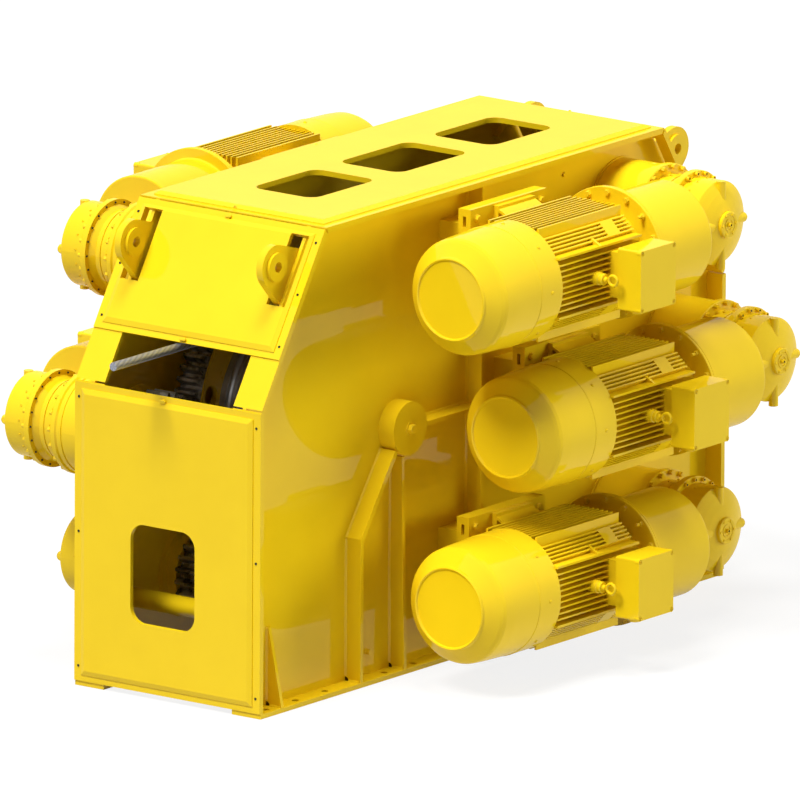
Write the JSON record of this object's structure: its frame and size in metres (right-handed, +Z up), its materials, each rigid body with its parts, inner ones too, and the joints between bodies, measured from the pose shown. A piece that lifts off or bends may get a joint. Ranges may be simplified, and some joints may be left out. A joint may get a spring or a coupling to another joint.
{
  "type": "traction winch",
  "caption": "Double-drum traction winch in a plated yellow housing, each drum turned through open gearing by electric motors with right-angle planetary gearboxes.",
  "frame": {"origin": "middle of the foundation bolts, on the underside of the foot plates", "axes": "+X along the housing from the rope's entry end to the other end, +Y towards the far side, +Z up"},
  "size_m": [4.376, 3.27, 2.508],
  "materials": {
    "yellow_paint": "gloss enamel over plate and castings",
    "drum_steel": "turned steel with a thin film of grease",
    "gear_steel": "cut teeth, oiled",
    "rope_steel": "smooth grey"
  },
  "bodies": {
    "housing": {"near_side_frame": "yellow_paint", "far_side_frame": "yellow_paint", "near_foot": "yellow_paint", "far_foot": "yellow_paint", "near_stiffeners": "yellow_paint", "far_stiffeners": "yellow_paint", "front_panel": "yellow_paint", "rear_panel": "yellow_paint", "front_cover": "yellow_paint", "rear_cover": "yellow_paint", "front_slope_panel": "yellow_paint", "rear_slope_panel": "yellow_paint", "front_slope_cover": "yellow_paint", "rear_slope_cover": "yellow_paint", "top_plate": "yellow_paint", "top_cover": "yellow_paint", "pad_eyes": "yellow_paint", "cross_tubes": "yellow_paint", "entry_rope": "rope_steel", "drum_axles": "drum_steel", "near_bearing_housings": "yellow_paint", "far_bearing_housings": "yellow_paint", "near_pinion_housings": "yellow_paint", "far_pinion_housings": "yellow_paint", "near_planetary_gears": "yellow_paint", "far_planetary_gears": "yellow_paint", "near_bevel_gearboxes": "yellow_paint", "far_bevel_gearboxes": "yellow_paint", "near_bell_housings": "yellow_paint", "far_bell_housings": "yellow_paint", "near_motors": "yellow_paint", "far_motors": "yellow_paint", "near_fan_cowls": "yellow_paint", "far_fan_cowls": "yellow_paint", "near_terminal_boxes": "yellow_paint", "far_terminal_boxes": "yellow_paint", "near_motor_brackets": "yellow_paint", "far_motor_brackets": "yellow_paint"},
    "front_drum": {"front_drum": "drum_steel", "front_gear": "gear_steel"},
    "rear_drum": {"rear_drum": "drum_steel", "rear_gear": "gear_steel"},
    "front_upper_pinion": {"front_upper_pinion": "gear_steel"},
    "front_middle_pinion": {"front_middle_pinion": "gear_steel"},
    "front_lower_pinion": {"front_lower_pinion": "gear_steel"},
    "rear_upper_pinion": {"rear_upper_pinion": "gear_steel"},
    "rear_middle_pinion": {"rear_middle_pinion": "gear_steel"},
    "rear_lower_pinion": {"rear_lower_pinion": "gear_steel"}
  },
  "joints": [
    {"name": "front_drum_turn", "type": "hinge", "parent": "housing", "child": "front_drum", "pos_m": [-0.72, 0, 1.293], "axis": [0, 1, 0], "continuous": true},
    {"name": "front_upper_pinion_turn", "type": "hinge", "parent": "housing", "child": "front_upper_pinion", "pos_m": [-1.19, 0, 2.10706], "axis": [0, 1, 0], "continuous": true},
    {"name": "front_middle_pinion_turn", "type": "hinge", "parent": "housing", "child": "front_middle_pinion", "pos_m": [-1.66, 0, 1.293], "axis": [0, 1, 0], "continuous": true},
    {"name": "front_lower_pinion_turn", "type": "hinge", "parent": "housing", "child": "front_lower_pinion", "pos_m": [-1.19, 0, 0.47894], "axis": [0, 1, 0], "continuous": true},
    {"name": "rear_drum_turn", "type": "hinge", "parent": "housing", "child": "rear_drum", "pos_m": [0.72, 0, 1.293], "axis": [0, 1, 0], "continuous": true},
    {"name": "rear_upper_pinion_turn", "type": "hinge", "parent": "housing", "child": "rear_upper_pinion", "pos_m": [1.19, 0, 2.10706], "axis": [0, 1, 0], "continuous": true},
    {"name": "rear_middle_pinion_turn", "type": "hinge", "parent": "housing", "child": "rear_middle_pinion", "pos_m": [1.66, 0, 1.293], "axis": [0, 1, 0], "continuous": true},
    {"name": "rear_lower_pinion_turn", "type": "hinge", "parent": "housing", "child": "rear_lower_pinion", "pos_m": [1.19, 0, 0.47894], "axis": [0, 1, 0], "continuous": true}
  ],
  "couplings": [
    {"joint": "front_upper_pinion_turn", "follows": "front_drum_turn", "ratio": -3.2727},
    {"joint": "front_middle_pinion_turn", "follows": "front_drum_turn", "ratio": -3.2727},
    {"joint": "front_lower_pinion_turn", "follows": "front_drum_turn", "ratio": -3.2727},
    {"joint": "rear_upper_pinion_turn", "follows": "rear_drum_turn", "ratio": -3.2727},
    {"joint": "rear_middle_pinion_turn", "follows": "rear_drum_turn", "ratio": -3.2727},
    {"joint": "rear_lower_pinion_turn", "follows": "rear_drum_turn", "ratio": -3.2727}
  ]
}
